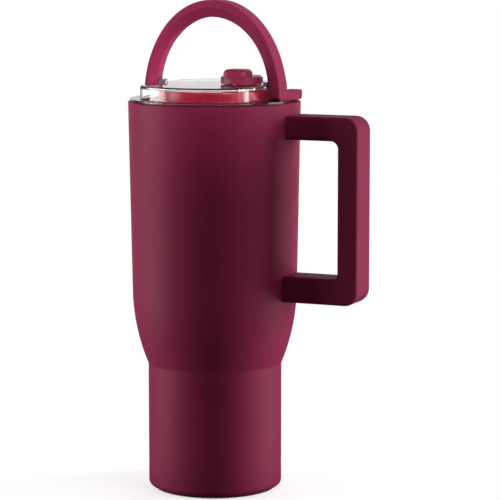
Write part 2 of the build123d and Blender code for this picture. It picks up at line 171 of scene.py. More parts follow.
def finishPiece(piece, body, nodes, material):
    # last touches, and what the piece rides on, stands for and is made of
    even = piece.modifiers.new("even", "WEIGHTED_NORMAL")  # flat faces stay flat beside their rounds
    even.keep_sharp = True
    bake(piece)
    piece.data.materials.clear()
    piece.data.materials.append(material)
    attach(piece, body)
    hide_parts(*nodes)


def along(axis):
    # ways to lay a flat outline and push it along an axis
    if axis == "y":
        return lambda a, b, depth: (a, depth, b)
    if axis == "x":
        return lambda a, b, depth: (depth, a, b)
    return lambda a, b, depth: (a, b, depth)


# small tools for materials

class Strand:
    # one output socket that can be used in sums
    def __init__(self, owner, socket):
        self.owner = owner
        self.socket = socket

    def __add__(self, other):
        return self.owner.maths("ADD", self, other)

    def __radd__(self, other):
        return self.owner.maths("ADD", other, self)

    def __sub__(self, other):
        return self.owner.maths("SUBTRACT", self, other)

    def __rsub__(self, other):
        return self.owner.maths("SUBTRACT", other, self)

    def __mul__(self, other):
        return self.owner.maths("MULTIPLY", self, other)

    def __rmul__(self, other):
        return self.owner.maths("MULTIPLY", other, self)

    def __pow__(self, other):
        return self.owner.maths("POWER", self, other)


class Made:
    # a node whose outputs come out as strands
    def __init__(self, owner, node):
        self.owner = owner
        self.made = node

    def __getitem__(self, output):
        return Strand(self.owner, self.made.outputs[output])


class Tree:
    # a node tree that is filled through one method
    def __init__(self, tree):
        self.tree = tree
        self.tree.nodes.clear()

    def node(self, kind, settings, values):
        made = self.tree.nodes.new(kind)
        for key, value in settings.items():
            setattr(made, key, value)
        for key, value in values.items():
            if isinstance(value, Strand):
                self.tree.links.new(value.socket, made.inputs[key])
            else:
                made.inputs[key].default_value = value
        return Made(self, made)

    def maths(self, operation, *values):
        return self.node("ShaderNodeMath", {"operation": operation}, dict(enumerate(values)))[0]


class Recipe(Tree):
    # one material: a shader, its even values and what varies over it
    def __init__(self, name, **values):
        self.material = bpy.data.materials.new(name)
        self.material.use_nodes = True
        super().__init__(self.material.node_tree)
        self.shader = self.node("ShaderNodeBsdfPrincipled", {}, values)
        self.node("ShaderNodeOutputMaterial", {}, {"Surface": self.shader["BSDF"]})
        self.where = self.node("ShaderNodeTexCoord", {}, {})["Object"]

    def feed(self, socket, strand):
        self.tree.links.new(strand.socket, self.shader.made.inputs[socket])

    def noise(self, scale, detail=2.0, roughness=0.5, where=None, stretch=None):
        spot = where or self.where
        if stretch:
            spot = self.node("ShaderNodeMapping", {}, {"Vector": spot, "Scale": stretch})[0]
        values = {"Vector": spot, "Scale": scale, "Detail": detail, "Roughness": roughness}
        return self.node("ShaderNodeTexNoise", {}, values)["Fac"]

    def cells(self, scale):
        return self.node("ShaderNodeTexVoronoi", {}, {"Vector": self.where, "Scale": scale})[0]

    def axisDistance(self):
        # how far a point is from the vertical axis, and its three parts
        apart = self.node("ShaderNodeSeparateXYZ", {}, {0: self.where})
        return (apart["X"] * apart["X"] + apart["Y"] * apart["Y"]) ** 0.5, apart

    def spread(self, strand, low, high, fromLow=0.3, fromHigh=0.7):
        # moves a value that runs from fromLow to fromHigh into low to high
        values = {"Value": strand, "From Min": fromLow, "From Max": fromHigh, "To Min": low, "To Max": high}
        return self.node("ShaderNodeMapRange", {}, values)["Result"]

    def tint(self, amount, first, second):
        values = {"Factor": amount, 6: (*first, 1), 7: (*second, 1)}  # 6, 7 and 2 are the colour sockets
        return self.node("ShaderNodeMix", {"data_type": "RGBA"}, values)[2]

    def bump(self, height, strength, distance):
        values = {"Height": height, "Strength": strength, "Distance": distance * mm}
        self.feed("Normal", self.node("ShaderNodeBump", {}, values)["Normal"])


def coated(name, look):
    # soft-touch powder coat or moulded soft plastic: fine grain, faint mottle, sheen
    recipe = Recipe(name, **{
        "Specular IOR Level": look["gloss"], "Sheen Weight": look["sheen"], "Sheen Roughness": 0.5,
        "Sheen Tint": (1.0, 0.30, 0.48, 1.0),
    })
    mottle = recipe.noise(look["mottleScale"], 4.0, 0.6)
    recipe.feed("Base Color", recipe.tint(recipe.spread(mottle, 0.0, 1.0), look["deep"], look["light"]))
    grain = recipe.noise(look["grainScale"], 2.0, 0.55)
    pebble = recipe.cells(look["grainScale"] * 0.45)
    rubbed = recipe.noise(look["mottleScale"] * 0.4, 3.0, 0.5)
    rough = recipe.spread(rubbed, look["roughLow"], look["roughHigh"]) + (grain - 0.5) * 0.05
    recipe.feed("Roughness", rough)
    recipe.bump(grain * 0.55 + pebble * 0.45, look["grain"], look["grainDepth"])
    return recipe.material


powderLook = {  # colours are linear
    "deep": (0.205, 0.0125, 0.050), "light": (0.232, 0.0155, 0.059),
    "mottleScale": 28.0, "grainScale": 2300.0, "grain": 0.22, "grainDepth": 0.05,
    "roughLow": 0.52, "roughHigh": 0.60, "sheen": 0.05, "gloss": 0.10,
}
gripLook = dict(
    powderLook, deep=(0.190, 0.0115, 0.046), light=(0.215, 0.0140, 0.054),
    grainScale=1700.0, grain=0.30, roughLow=0.56, roughHigh=0.66, sheen=0.06,
)
capLook = dict(
    powderLook, deep=(0.200, 0.0110, 0.044), light=(0.224, 0.0135, 0.052),
    grainScale=2600.0, grain=0.14, roughLow=0.38, roughHigh=0.46, sheen=0.03, gloss=0.30,
)
siliconeLook = dict(
    powderLook, deep=(0.120, 0.009, 0.030), light=(0.140, 0.012, 0.036),
    grainScale=3200.0, grain=0.18, roughLow=0.60, roughHigh=0.70, sheen=0.08,
)


def glossyBurgundy():
    # moulded lid plastic seen through the clear cover
    recipe = Recipe("lidBurgundy", **{"Specular IOR Level": 0.25})
    flow = recipe.noise(40.0, 3.0, 0.55, stretch=(1.0, 1.0, 2.5))
    reach = recipe.axisDistance()[0]
    core = recipe.spread(reach, 1.0, 0.0, 32.6 * mm, 34.5 * mm)  # painted shade: the rim around the core is coloured darker, as if shaded, so the core is brighter than its rim
    depth = recipe.spread(flow, 0.0, 0.12) + core * 0.88
    recipe.feed("Base Color", recipe.tint(depth, (0.070, 0.003, 0.014), (0.250, 0.006, 0.024)))
    recipe.feed("Roughness", recipe.spread(recipe.noise(120.0, 2.0), 0.24, 0.34))
    recipe.bump(recipe.noise(900.0, 2.0), 0.06, 0.04)
    return recipe.material


def clearPlastic(name, tint):
    # polished see-through copolyester with faint moulding waves
    recipe = Recipe(name, **{"IOR": 1.40, "Transmission Weight": 1.0, "Base Color": (*tint, 1.0)})
    recipe.feed("Roughness", recipe.spread(recipe.noise(60.0, 3.0), 0.015, 0.045))
    recipe.bump(recipe.noise(55.0, 1.0), 0.05, 0.15)
    return recipe.material


def spunSteel(name, turned=True):
    # brushed stainless steel; a turned piece is brushed in rings
    recipe = Recipe(name, **{"Metallic": 1.0, "IOR": 2.5})
    if turned:
        reach, apart = recipe.axisDistance()
        rings = recipe.node("ShaderNodeCombineXYZ", {}, {"X": reach, "Y": apart["Z"], "Z": 0.0})[0]
        lines = recipe.noise(2600.0, 3.0, 0.65, where=rings)
    else:
        lines = recipe.noise(900.0, 3.0, 0.65, stretch=(0.04, 1.0, 1.0))
    cloud = recipe.noise(35.0, 3.0)
    shade = recipe.spread(lines, 0.0, 1.0)
    recipe.feed("Base Color", recipe.tint(shade, (0.50, 0.49, 0.48), (0.66, 0.65, 0.64)))
    recipe.feed("Roughness", recipe.spread(lines, 0.22, 0.36) + (cloud - 0.5) * 0.10)
    recipe.bump(lines, 0.10, 0.03)
    return recipe.material


def moulded(name, deep, light, rough, scale=1500.0):
    # plain moulded or cast stuff with a fine skin
    recipe = Recipe(name, IOR=1.48)
    skin = recipe.noise(scale, 3.0, 0.6)
    cloud = recipe.noise(50.0, 3.0)
    recipe.feed("Base Color", recipe.tint(recipe.spread(cloud, 0.0, 1.0), deep, light))
    recipe.feed("Roughness", rough + (skin - 0.5) * 0.15)
    recipe.bump(skin, 0.2, 0.05)
    return recipe.material


powderCoat = coated("powderCoat", powderLook)
softGrip = coated("softGrip", gripLook)
capSatin = coated("capSatin", capLook)
burgundySilicone = coated("burgundySilicone", siliconeLook)
lidBurgundy = glossyBurgundy()
clearCoverPlastic = clearPlastic("clearCoverPlastic", (0.985, 0.985, 0.985))
strawPlastic = clearPlastic("strawPlastic", (0.95, 0.96, 0.97))
linerSteel = spunSteel("linerSteel")
plainSteel = spunSteel("plainSteel", turned=False)
paleSilicone = moulded("paleSilicone", (0.58, 0.57, 0.55), (0.68, 0.67, 0.65), 0.5)
blackNylon = moulded("blackNylon", (0.012, 0.012, 0.013), (0.022, 0.022, 0.024), 0.5)
getterMetal = moulded("getterMetal", (0.05, 0.05, 0.05), (0.11, 0.11, 0.11), 0.7, 900.0)
sealingGlass = moulded("sealingGlass", (0.06, 0.06, 0.07), (0.10, 0.10, 0.11), 0.25)
print("materials ready")


# vessel: shell, liner and underside

vessel = {  # millimetres
    "rimRadius": edgeOf("outer_shell", 1), "rim": edgeOf("outer_shell", 2), "pad": edgeOf("foot_pad", 2),
    "shoulderRadius": 48.6, "shoulder": 118.0, "step": 74.5, "baseRadius": 39.5, "baseRound": 3.0,
    "wall": 0.9, "coverGap": 0.1, "shellSides": 224, "linerInset": 3.7, "linerRound": 6.0,
    "lipInset": 0.97, "lipCorner": 0.1, "coatedLip": 0.6, "padInner": 25.0, "padEdge": 0.35, "padSides": 160,
}


def sideRadius(height):
    # outside radius of the tapered upper wall
    rise = (height - vessel["shoulder"]) / (vessel["rim"] - vessel["shoulder"])
    return vessel["shoulderRadius"] + (vessel["rimRadius"] - vessel["shoulderRadius"]) * rise


def wallLine(inset, low, high, straight=6, bent=28, tapered=8):
    # side of the vessel from low to high: cylinder, shoulder arc, taper, with steps for each
    top = Vector((vessel["shoulderRadius"], vessel["shoulder"]))
    foot = Vector((vessel["baseRadius"], vessel["step"]))
    lean = Vector((sideRadius(high), high)) - top
    normal = Vector((-lean.y, lean.x)).normalized()  # towards the arc's centre
    chord = foot - top
    bend = chord.length_squared / (2 * chord.dot(normal))
    middle = top + normal * bend
    first = atan2(foot.y - middle.y, foot.x - middle.x)
    last = atan2(top.y - middle.y, top.x - middle.x)
    rise = vessel["step"] - low
    line = [(vessel["baseRadius"] - inset, low + rise * k / straight) for k in range(straight)]
    for k in range(bent + 1):
        angle = first + (last - first) * k / bent
        line.append((middle.x + bend * cos(angle) - inset, middle.y + bend * sin(angle)))
    for k in range(1, tapered + 1):
        height = vessel["shoulder"] + (high - vessel["shoulder"]) * k / tapered
        line.append((sideRadius(height) - inset, height))
    return line


def arcTo(centre, radius, first, last, steps=8):
    # points of an arc from angle first to last, in degrees
    turn = (last - first) / steps
    angles = [radians(first + turn * k) for k in range(steps + 1)]
    return [(centre[0] + radius * cos(angle), centre[1] + radius * sin(angle)) for angle in angles]


def makeShell():
    pad, wall, bend = vessel["pad"], vessel["wall"], vessel["baseRound"]
    low, high = pad + bend, vessel["rim"] - wall / 2
    outside = wallLine(0, low, high)
    inside = wallLine(wall, low, high)
    corner = (vessel["baseRadius"] - bend, low)
    lip = arcTo((vessel["rimRadius"] - wall / 2, high), wall / 2, 0, 180)
    opening = edgeOf("base_cover", 0) + vessel["coverGap"]
    profile = (
        [(opening, pad)] + arcTo(corner, bend, -90, -4) + outside[:-1] + lip
        + inside[::-1][1:] + arcTo(corner, bend - wall, -4, -90) + [(opening, pad + wall)]
    )
    shell = lathe("bodyShell", profile, vessel["shellSides"])
    finishPiece(shell, "mug", ["outer_shell"], powderCoat)


def makeLiner():
    low, rim = edgeOf("inner_liner", 2, False), vessel["rim"]
    wall, inset, bend = vessel["wall"], vessel["linerInset"], vessel["linerRound"]
    outside = wallLine(inset, low + bend, rim - wall)
    inside = wallLine(inset + wall, low + bend, rim)
    lip, corner = vessel["rimRadius"] - vessel["lipInset"], vessel["lipCorner"]
    middle = (vessel["baseRadius"] - inset - bend, low + bend)
    profile = (
        [(0, low)] + arcTo(middle, bend, -90, -4) + outside
        + [(lip, rim - wall), (lip, rim - corner), (lip - corner, rim)]
        + inside[::-1][:-1] + arcTo(middle, bend - wall, 0, -90) + [(0, low + wall)]
    )
    liner = lathe("innerLiner", profile)
    finishPiece(liner, "mug", ["inner_liner"], linerSteel)
    liner.data.materials.append(powderCoat)  # the coat runs over the welded lip
    for face in liner.data.polygons:
        if face.center.z > (rim - vessel["coatedLip"]) * mm:
            face.material_index = 1


def makeUnderside():
    inner, outer, top, edge = vessel["padInner"], edgeOf("foot_pad", 0), vessel["pad"], vessel["padEdge"]
    ring = roundOff([(inner, 0, edge), (outer, 0, edge), (outer, top, 0), (inner, top, 0)])
    pad = lathe("footPad", ring, vessel["padSides"])
    finishPiece(pad, "mug", ["foot_pad"], burgundySilicone)
    radius, high = edgeOf("base_cover", 0), edgeOf("base_cover", 2)
    plate = [(0, top), (radius, top), (radius, high), (0, high)]
    cover = lathe("baseCover", plate, vessel["padSides"])
    finishPiece(cover, "mug", ["base_cover"], linerSteel)


makeShell()
makeLiner()
makeUnderside()
print("vessel ready")


# side handle

handle = {
    "outer": edgeOf("handle_grip", 0), "half": edgeOf("handle_grip", 1), "inner": 81.3,
    "upperTop": edgeOf("handle_grip", 2), "upperLow": 209.6, "start": 24.3, "clear": 0.12,
    "lowerTop": 130.0, "lowerLow": edgeOf("handle_grip", 2, False),
    "corner": 8.5, "topInside": 4.5, "lowInside": 2.6, "edge": 2.4, "edgeSteps": 6, "edgeAngle": 60,
}


def makeHandle():
    h = handle
    outline = roundOff([
        (h["start"], h["upperTop"], 0), (h["outer"], h["upperTop"], h["corner"]),
        (h["outer"], h["lowerLow"], h["corner"]), (h["start"], h["lowerLow"], 0),
        (h["start"], h["lowerTop"], 0), (h["inner"], h["lowerTop"], h["lowInside"]),
        (h["inner"], h["upperLow"], h["topInside"]), (h["start"], h["upperLow"], 0),
    ], steps=12)
    grip = prism("handleGrip", outline, -h["half"], h["half"], along("y"))
    soften(grip, h["edge"], h["edgeSteps"], h["edgeAngle"])
    for corner in grip.data.vertices:  # the arms' ends follow the shell
        spot = corner.co / mm
        if spot.x < h["start"] + 2 * h["edge"]:
            reach = sideRadius(spot.z) + h["clear"]
            corner.co.x = (reach ** 2 - spot.y ** 2) ** 0.5 * mm
    smooth(grip)
    finishPiece(grip, "mug", ["handle_grip"], softGrip)


makeHandle()
print("handle ready")


# lid: clear cover, plug, gasket, spout and straw; heights are above the rim

lid = {
    "rim": vessel["rim"], "gap": 0.3, "rest": 0.6, "flangeRadius": 49.8, "flange": 0.9, "flangeEdge": 0.35,
    "drumRadius": 46.0, "flat": 34.6, "blend": 4.0, "drumTop": 10.2, "wall": 1.8, "plate": 1.6, "edge": 0.9,
    "notchLow": -10.6, "notchHigh": 29.0, "slack": 0.4, "centre": 30.0, "sides": 360, "tip": 0.15,
    "coreRadius": 32.5, "core": 8.3, "coreEdge": 2.6, "coreWall": 1.8, "plugRadius": 45.2, "plugLow": -13.0,
    "grooveRadius": 43.0, "grooveTop": -4.4, "grooveLow": -9.6, "skirt": 2.0,
    "holeLow": -5.0, "holeHigh": 12.0,  # how far the cutters for the spout and the valve reach
}
spoutPlace = {
    "x": 17.5, "radius": 6.2, "top": 12.9, "bore": 3.6, "seat": -4.0, "seatRadius": 4.05, "sides": 72,
    "collar": 9.0, "collarTop": 5.3, "collarLow": 4.0,
}
valve = {"x": -16.0, "coverHole": 0.8, "plugHole": 1.45}
hinge = {
    "y": 13.2, "z": 12.9, "knuckle": 2.1, "base": 9.6, "earInner": 3.3, "earOuter": 5.8, "pin": 0.9,
    "boreHalf": 9.0, "arm": 3.0, "armBore": 4.0, "armRound": 0.12, "armLow": 0.2, "armLap": 0.3,
}
pivot = {"z": 10.0, "pin": 1.5, "base": 9.4, "lugInner": 31.3, "lug": 2.3}
hair = 0.02  # keeps two faces from lying on each other
pinFit = 0.05  # room around a pin or a pushed-in tube


def inNotch(angle, side):
    return cos(angle) > 0 and lid["notchLow"] < side < lid["notchHigh"]


def drumShape(angle, radius, height):
    # two flats beside the bail's feet, and a notch in the flange for its heel
    across = abs(cos(angle))
    if radius < lid["centre"] or across < 0.01:
        return radius
    if radius <= lid["drumRadius"] + lid["slack"]:
        flat = (lid["flat"] + radius - lid["drumRadius"]) / across
        overlap = max(lid["blend"] - abs(radius - flat), 0.0) / lid["blend"]
        return min(radius, flat) - overlap ** 2 * lid["blend"] / 4  # the corner between them is round
    if inNotch(angle, radius * sin(angle)):
        return min(radius, (lid["flat"] + lid["slack"]) / across)
    return radius


def restShape(angle, radius, height):
    # the plug's resting rim has the same notch as the clear flange
    if radius > lid["plugRadius"] + lid["slack"] and inNotch(angle, radius * sin(angle)):
        return max(min(radius, (lid["flat"] + lid["slack"]) / cos(angle)), lid["plugRadius"])
    return radius


def cylinder(name, centre, radius, low, high, axis="z", segments=48):
    turns = [2 * pi * i / segments for i in range(segments)]
    ring = [(centre[0] + radius * cos(turn), centre[1] + radius * sin(turn)) for turn in turns]
    return prism(name, ring, low, high, along(axis))


def tongue(name, centre, base, radius, reach):
    # an upright plate across X from base up, with a round top about its centre
    y, z = centre
    outline = roundOff([
        (y - radius, base, 0), (y + radius, base, 0),
        (y + radius, z + radius, radius - hair), (y - radius, z + radius, radius - hair),
    ], steps=10)
    return prism(name, outline, *sorted(reach), along("x"))


def makeCover():
    rim, radius, flange = lid["rim"], lid["drumRadius"], lid["flangeRadius"]
    base, top = rim + lid["gap"] + lid["rest"], rim + lid["drumTop"]
    inner, ceiling = radius - lid["wall"], top - lid["plate"]
    profile = roundOff([
        (0, top, 0), (radius, top, lid["edge"]), (radius, base + lid["flange"], lid["flangeEdge"]),
        (flange, base + lid["flange"], lid["flangeEdge"]), (flange, base, lid["tip"]),
        (inner, base, 0.2), (inner, ceiling, 0.8), (0, ceiling, 0),
    ])
    cover = lathe("clearCover", profile, lid["sides"], shape=drumShape, smoothAngle=30)
    pivotLine, hingeLine = (0, rim + pivot["z"]), (hinge["y"], rim + hinge["z"])
    x = spoutPlace["x"]
    for side in (-1, 1):
        reach = (side * pivot["lugInner"], side * (lid["flat"] - hair))
        combine(cover, tongue("lug", pivotLine, rim + pivot["base"], pivot["lug"], reach), "UNION")
        reach = (x + side * hinge["earInner"], x + side * hinge["earOuter"])
        combine(cover, tongue("ear", hingeLine, rim + hinge["base"], hinge["knuckle"], reach), "UNION")
    hole = cylinder("hole", (x, 0), spoutPlace["radius"] + pinFit, base, top + 1)
    combine(cover, hole, "DIFFERENCE")
    hole = cylinder("hole", (valve["x"], 0), valve["coverHole"], base, top + 1, segments=24)
    combine(cover, hole, "DIFFERENCE")
    for side in (-1, 1):
        low, high = sorted((side * (pivot["lugInner"] - 0.1), side * (lid["flat"] + 1)))
        combine(cover, cylinder("bore", pivotLine, pivot["pin"] + pinFit, low, high, "x"), "DIFFERENCE")
    half = hinge["boreHalf"]
    bore = cylinder("bore", hingeLine, hinge["pin"] + pinFit, x - half, x + half, "x", 32)
    combine(cover, bore, "DIFFERENCE")
    cover.visible_shadow = False  # light reaches the core through it
    finishPiece(cover, "lid", ["lid_cover"], clearCoverPlastic)


def makePlug():
    rim, plug, flange, groove = lid["rim"], lid["plugRadius"], lid["flangeRadius"], lid["grooveRadius"]
    core, wall, seat = lid["coreRadius"], lid["coreWall"], rim + lid["gap"] + lid["rest"]
    top, skirt = rim + lid["core"], groove - lid["skirt"]
    profile = roundOff([
        (0, top, 0), (core, top, lid["coreEdge"]), (core, seat, 0.5), (flange, seat, lid["tip"]),
        (flange, rim + lid["gap"], lid["tip"]), (plug, rim + lid["gap"], 0.3),
        (plug, rim + lid["grooveTop"], 0.2), (groove, rim + lid["grooveTop"], 0),
        (groove, rim + lid["grooveLow"], 0), (plug, rim + lid["grooveLow"], 0.2),
        (plug, rim + lid["plugLow"], 0.8), (skirt, rim + lid["plugLow"], 0.6), (skirt, rim - wall, 0.8),
        (core - wall, rim - wall, 0.4), (core - wall, top - wall, 0.8), (0, top - wall, 0),
    ])
    piece = lathe("lidPlug", profile, lid["sides"], shape=restShape)
    low, high = rim + lid["holeLow"], rim + lid["holeHigh"]
    hole = cylinder("hole", (spoutPlace["x"], 0), spoutPlace["radius"] + pinFit, low, high)
    combine(piece, hole, "DIFFERENCE")
    hole = cylinder("hole", (valve["x"], 0), valve["plugHole"], low, high, segments=24)
    combine(piece, hole, "DIFFERENCE")
    finishPiece(piece, "lid", ["lid_plug"], lidBurgundy)


gasket = {"inner": 43.05, "lip": 1.2, "round": 0.5, "sides": 160}


def makeGasket():
    inner, outer, lip, bend = gasket["inner"], edgeOf("lid_gasket", 0), gasket["lip"], gasket["round"]
    low, high = edgeOf("lid_gasket", 2, False), edgeOf("lid_gasket", 2)
    profile = roundOff([
        (inner, high, 0), (outer, high, bend), (outer, high - lip, bend), (outer - lip, high - lip, 0.3),
        (outer - lip, low + lip, 0.3), (outer, low + lip, bend), (outer, low, bend), (inner, low, 0),
    ])
    piece = lathe("lidGasket", profile, gasket["sides"])
    finishPiece(piece, "lid", ["lid_gasket"], paleSilicone)


def makeSpout():
    rim, low = lid["rim"], edgeOf("spout", 2, False)
    bore, radius, collar, straw = (spoutPlace[key] for key in ("bore", "radius", "collar", "seatRadius"))
    heights = ("top", "collarTop", "collarLow", "seat")
    top, collarTop, collarLow, seat = (rim + spoutPlace[key] for key in heights)
    profile = roundOff([
        (bore, top, 0.7), (radius, top, 0.9), (radius, collarTop, 0), (collar, collarTop, 0.3),
        (collar, collarLow, 0.3), (radius, collarLow, 0.3), (radius, low, 0.5), (straw, low, 0.4),
        (straw, seat, 0), (bore, seat, 0),
    ])
    spout = lathe("spout", profile, spoutPlace["sides"], (spoutPlace["x"], 0))
    finishPiece(spout, "lid", ["spout"], lidBurgundy)


strawSize = {"inner": 3.5, "outer": 4.0, "edge": 0.2, "sides": 64}


def makeStraw():
    low, high = edgeOf("straw", 2, False), edgeOf("straw", 2)
    inner, outer, edge = strawSize["inner"], strawSize["outer"], strawSize["edge"]
    corners = [(inner, low, edge), (outer, low, edge), (outer, high, edge), (inner, high, edge)]
    profile = roundOff(corners, steps=3)
    straw = lathe("straw", profile, strawSize["sides"], (spoutPlace["x"], 0))
    finishPiece(straw, "lid", ["straw"], strawPlastic)


makeCover()
makePlug()
makeGasket()
makeSpout()
makeStraw()
print("lid ready")


# carrying bail

bail = {
    "outerHalf": 43.5, "outerOffset": 0.5, "outerRise": 58.2, "outerCentre": 1.0,
    "innerHalf": 35.7, "innerOffset": 0.0, "innerRise": 43.9, "innerCentre": 5.3,
    "count": 160, "thick": 8.0,  # rings along the arch; depth that the section is drawn at
    "width": 12.8, "innerWidth": 7.0, "taper": 3.6, "edge": 0.9, "leftFoot": 6.8, "rightFoot": 0.6,
    "heelInner": 36.3, "heelFlush": 43.95, "heelOuter": 44.7, "heelFront": 4.6, "heelBack": 27.3,
    "heelTop": 6.4, "heelRound": 2.2, "heelEdge": 0.8,
    "wasteInner": 20.0, "wasteOuter": 60.0, "wasteLow": 3.0,  # cutter that rounds the right foot
}


barInputs = ["section", "material", "count", "foot"] + [
    side + size for side in ("outer", "inner") for size in ("Half", "Offset", "Rise", "Centre", "Start")
]


def bentBar():
    # node tree: bends a straight bar of any section between two half ellipses
    group = bpy.data.node_groups.new("bentBar", "GeometryNodeTree")
    kinds = {"section": "Object", "material": "Material", "count": "Int"}
    group.interface.new_socket("Geometry", in_out="OUTPUT", socket_type="NodeSocketGeometry")
    for name in barInputs:
        kind = kinds.get(name, "Float")
        group.interface.new_socket(name, in_out="INPUT", socket_type="NodeSocket" + kind)
    bar = Tree(group)
    given = bar.node("NodeGroupInput", {}, {})
    shape = bar.node("GeometryNodeObjectInfo", {}, {"Object": given["section"]})
    ring = bar.node("GeometryNodeMeshToCurve", {}, {"Mesh": shape["Geometry"]})
    line = bar.node("GeometryNodeCurvePrimitiveLine", {}, {"End": (0, 0, 1 + 1 / bail["count"])})
    steps = bar.node("GeometryNodeResampleCurve", {}, {"Curve": line["Curve"], "Count": given["count"]})
    straight = bar.node(
        "GeometryNodeCurveToMesh", {},
        {"Curve": steps["Curve"], "Profile Curve": ring["Curve"], "Fill Caps": True},
    )
    here = bar.node("GeometryNodeInputPosition", {}, {})
    apart = bar.node("ShaderNodeSeparateXYZ", {}, {0: here[0]})
    part = bar.maths("MINIMUM", apart["Z"], 1.0)
    past = (apart["Z"] - part) * bail["count"]  # 1 on the last ring, which is straight below

    def curve(side):
        angle = given[side + "Start"] + (pi - 2 * given[side + "Start"]) * (1 - part)
        return (
            given[side + "Offset"] + given[side + "Half"] * bar.maths("COSINE", angle),
            given[side + "Centre"] + given[side + "Rise"] * bar.maths("SINE", angle),
        )

    outerX, outerZ = curve("outer")
    innerX, innerZ = curve("inner")
    depth = apart["X"] * (1 / bail["thick"])
    x = outerX + (innerX - outerX) * depth
    z = outerZ + (innerZ - outerZ) * depth
    z = z + (given["foot"] - z) * past
    spot = bar.node("ShaderNodeCombineXYZ", {}, {"X": x * mm, "Y": apart["Y"] * mm, "Z": z * mm})
    bent = bar.node("GeometryNodeSetPosition", {}, {"Geometry": straight["Mesh"], "Position": spot[0]})
    real = bar.node("GeometryNodeRealizeInstances", {}, {"Geometry": bent["Geometry"]})
    dressed = bar.node(
        "GeometryNodeSetMaterial", {}, {"Geometry": real["Geometry"], "Material": given["material"]}
    )
    bar.node("NodeGroupOutput", {}, {"Geometry": dressed["Geometry"]})
    return group


def bendBail():
    half, inner, taper = bail["width"] / 2, bail["innerWidth"] / 2, bail["taper"]
    thick, edge = bail["thick"], bail["edge"]
    outline = roundOff([
        (0, -half, edge), (0, half, edge), (taper, half, 0),
        (thick, inner, edge), (thick, -inner, edge), (taper, -half, 0),
    ])
    mesh = bpy.data.meshes.new("section")
    edges = [(i, (i + 1) % len(outline)) for i in range(len(outline))]
    mesh.from_pydata([(depth, side, 0) for depth, side in outline], edges, [])
    section = place(mesh)
    arch = place(bpy.data.meshes.new("carryBail"))
    group = bentBar()
    values = {
        "section": section, "material": softGrip,
        "count": bail["count"] + 2, "foot": lid["rim"] + bail["rightFoot"],
    }
    for side in ("outer", "inner"):
        rise, centre = bail[side + "Rise"], bail[side + "Centre"]
        values[side + "Half"] = bail[side + "Half"]
        values[side + "Offset"] = bail[side + "Offset"]
        values[side + "Rise"] = rise
        values[side + "Centre"] = lid["rim"] + centre
        values[side + "Start"] = acos((1 - ((bail["leftFoot"] - centre) / rise) ** 2) ** 0.5)
    bend = arch.modifiers.new("bend", "NODES")
    bend.node_group = group
    for socket in group.interface.items_tree:
        if socket.in_out == "INPUT":
            bend[socket.identifier] = values[socket.name]
    bake(arch)
    bpy.data.objects.remove(section)
    closeUp(arch)
    smooth(arch, 50)
    return arch


def makeBail():
    arch = bendBail()
    rim, front, back = lid["rim"], bail["heelFront"], bail["heelBack"]
    low, high, inner = rim + bail["rightFoot"], rim + bail["heelTop"], bail["heelInner"]
    reach = pivot["z"] - bail["rightFoot"]  # the front of the right foot is round about the pivot
    turns = [radians(degrees) for degrees in range(200, 271, 5)]
    curve = [(reach * cos(turn), rim + pivot["z"] + reach * sin(turn)) for turn in turns]
    below = rim - bail["wasteLow"]
    waste = curve + [(0, below), (-2 * reach, below), (-2 * reach, curve[0][1])]
    combine(arch, prism("waste", waste, bail["wasteInner"], bail["wasteOuter"], along("x")), "DIFFERENCE")
    heel = roundOff([(front, low, 0), (back, low, bail["heelRound"]), (back, high, 0.9), (front, high, 0)])
    spreadOut = (bail["heelOuter"] - bail["heelFlush"]) / (back - front)

    def lay(y, z, x):
        return (x + spreadOut * (y - front) if x > inner else x, y, z)

    foot = prism("heel", heel, inner, bail["heelFlush"], lay)  # flush in front, wider behind
    soften(foot, bail["heelEdge"], 4, 50)
    combine(arch, foot, "UNION")
    smooth(arch, 25)  # keeps the crease along each side
    finishPiece(arch, "carry_bail", ["bail"], softGrip)


makeBail()
print("bail ready")


# flip cap

cap = {
    "radius": 12.4, "low": 10.7, "top": 14.9, "wall": 1.7, "ceiling": 13.4, "back": 9.8, "edge": 1.1,
    "sides": 160, "thumbWidth": 15.4, "thumbBack": 1.0, "thumbFront": -12.4, "thumbTop": 19.4,
    "thumbLap": 0.9, "thumbCorner": 3.8, "thumbEdge": 3.0,
    "thumbLip": [(0.0, 0.6), (0.18, 0.18), (0.6, 0.0)],  # heights and how far each is set in
}


def paddle(centre, halfX, halfY, low, high, steps=8):
    # the thumb tab: a rounded block with a soft top and a crisper lower lip
    levels = [(low + rise, inset) for rise, inset in cap["thumbLip"]]
    edge = cap["thumbEdge"]
    for k in range(steps + 1):
        angle = radians(90 * k / steps)
        levels.append((high - edge + edge * sin(angle), edge * (1 - cos(angle))))
    points = []
    for height, inset in levels:
        x, y, corner = halfX - inset, halfY - inset, cap["thumbCorner"] - inset
        ring = roundOff([(-x, -y, corner), (x, -y, corner), (x, y, corner), (-x, y, corner)], steps=8)
        points += [(centre[0] + a, centre[1] + b, height) for a, b in ring]
    ring = len(points) // len(levels)
    faces = [tuple(range(ring)), tuple(len(points) - 1 - i for i in range(ring))]
    for level in range(len(levels) - 1):
        here = level * ring
        for i in range(ring):
            after = (i + 1) % ring
            faces.append((here + i, here + after, here + ring + after, here + ring + i))
    return meshPiece("thumb", points, faces)


def backFlat(angle, radius, height):
    # the disc is cut off straight behind, where the arm joins it
    limit = cap["back"] - (cap["radius"] - radius)
    return min(radius, limit / sin(angle)) if sin(angle) > 0 and radius > 1 else radius


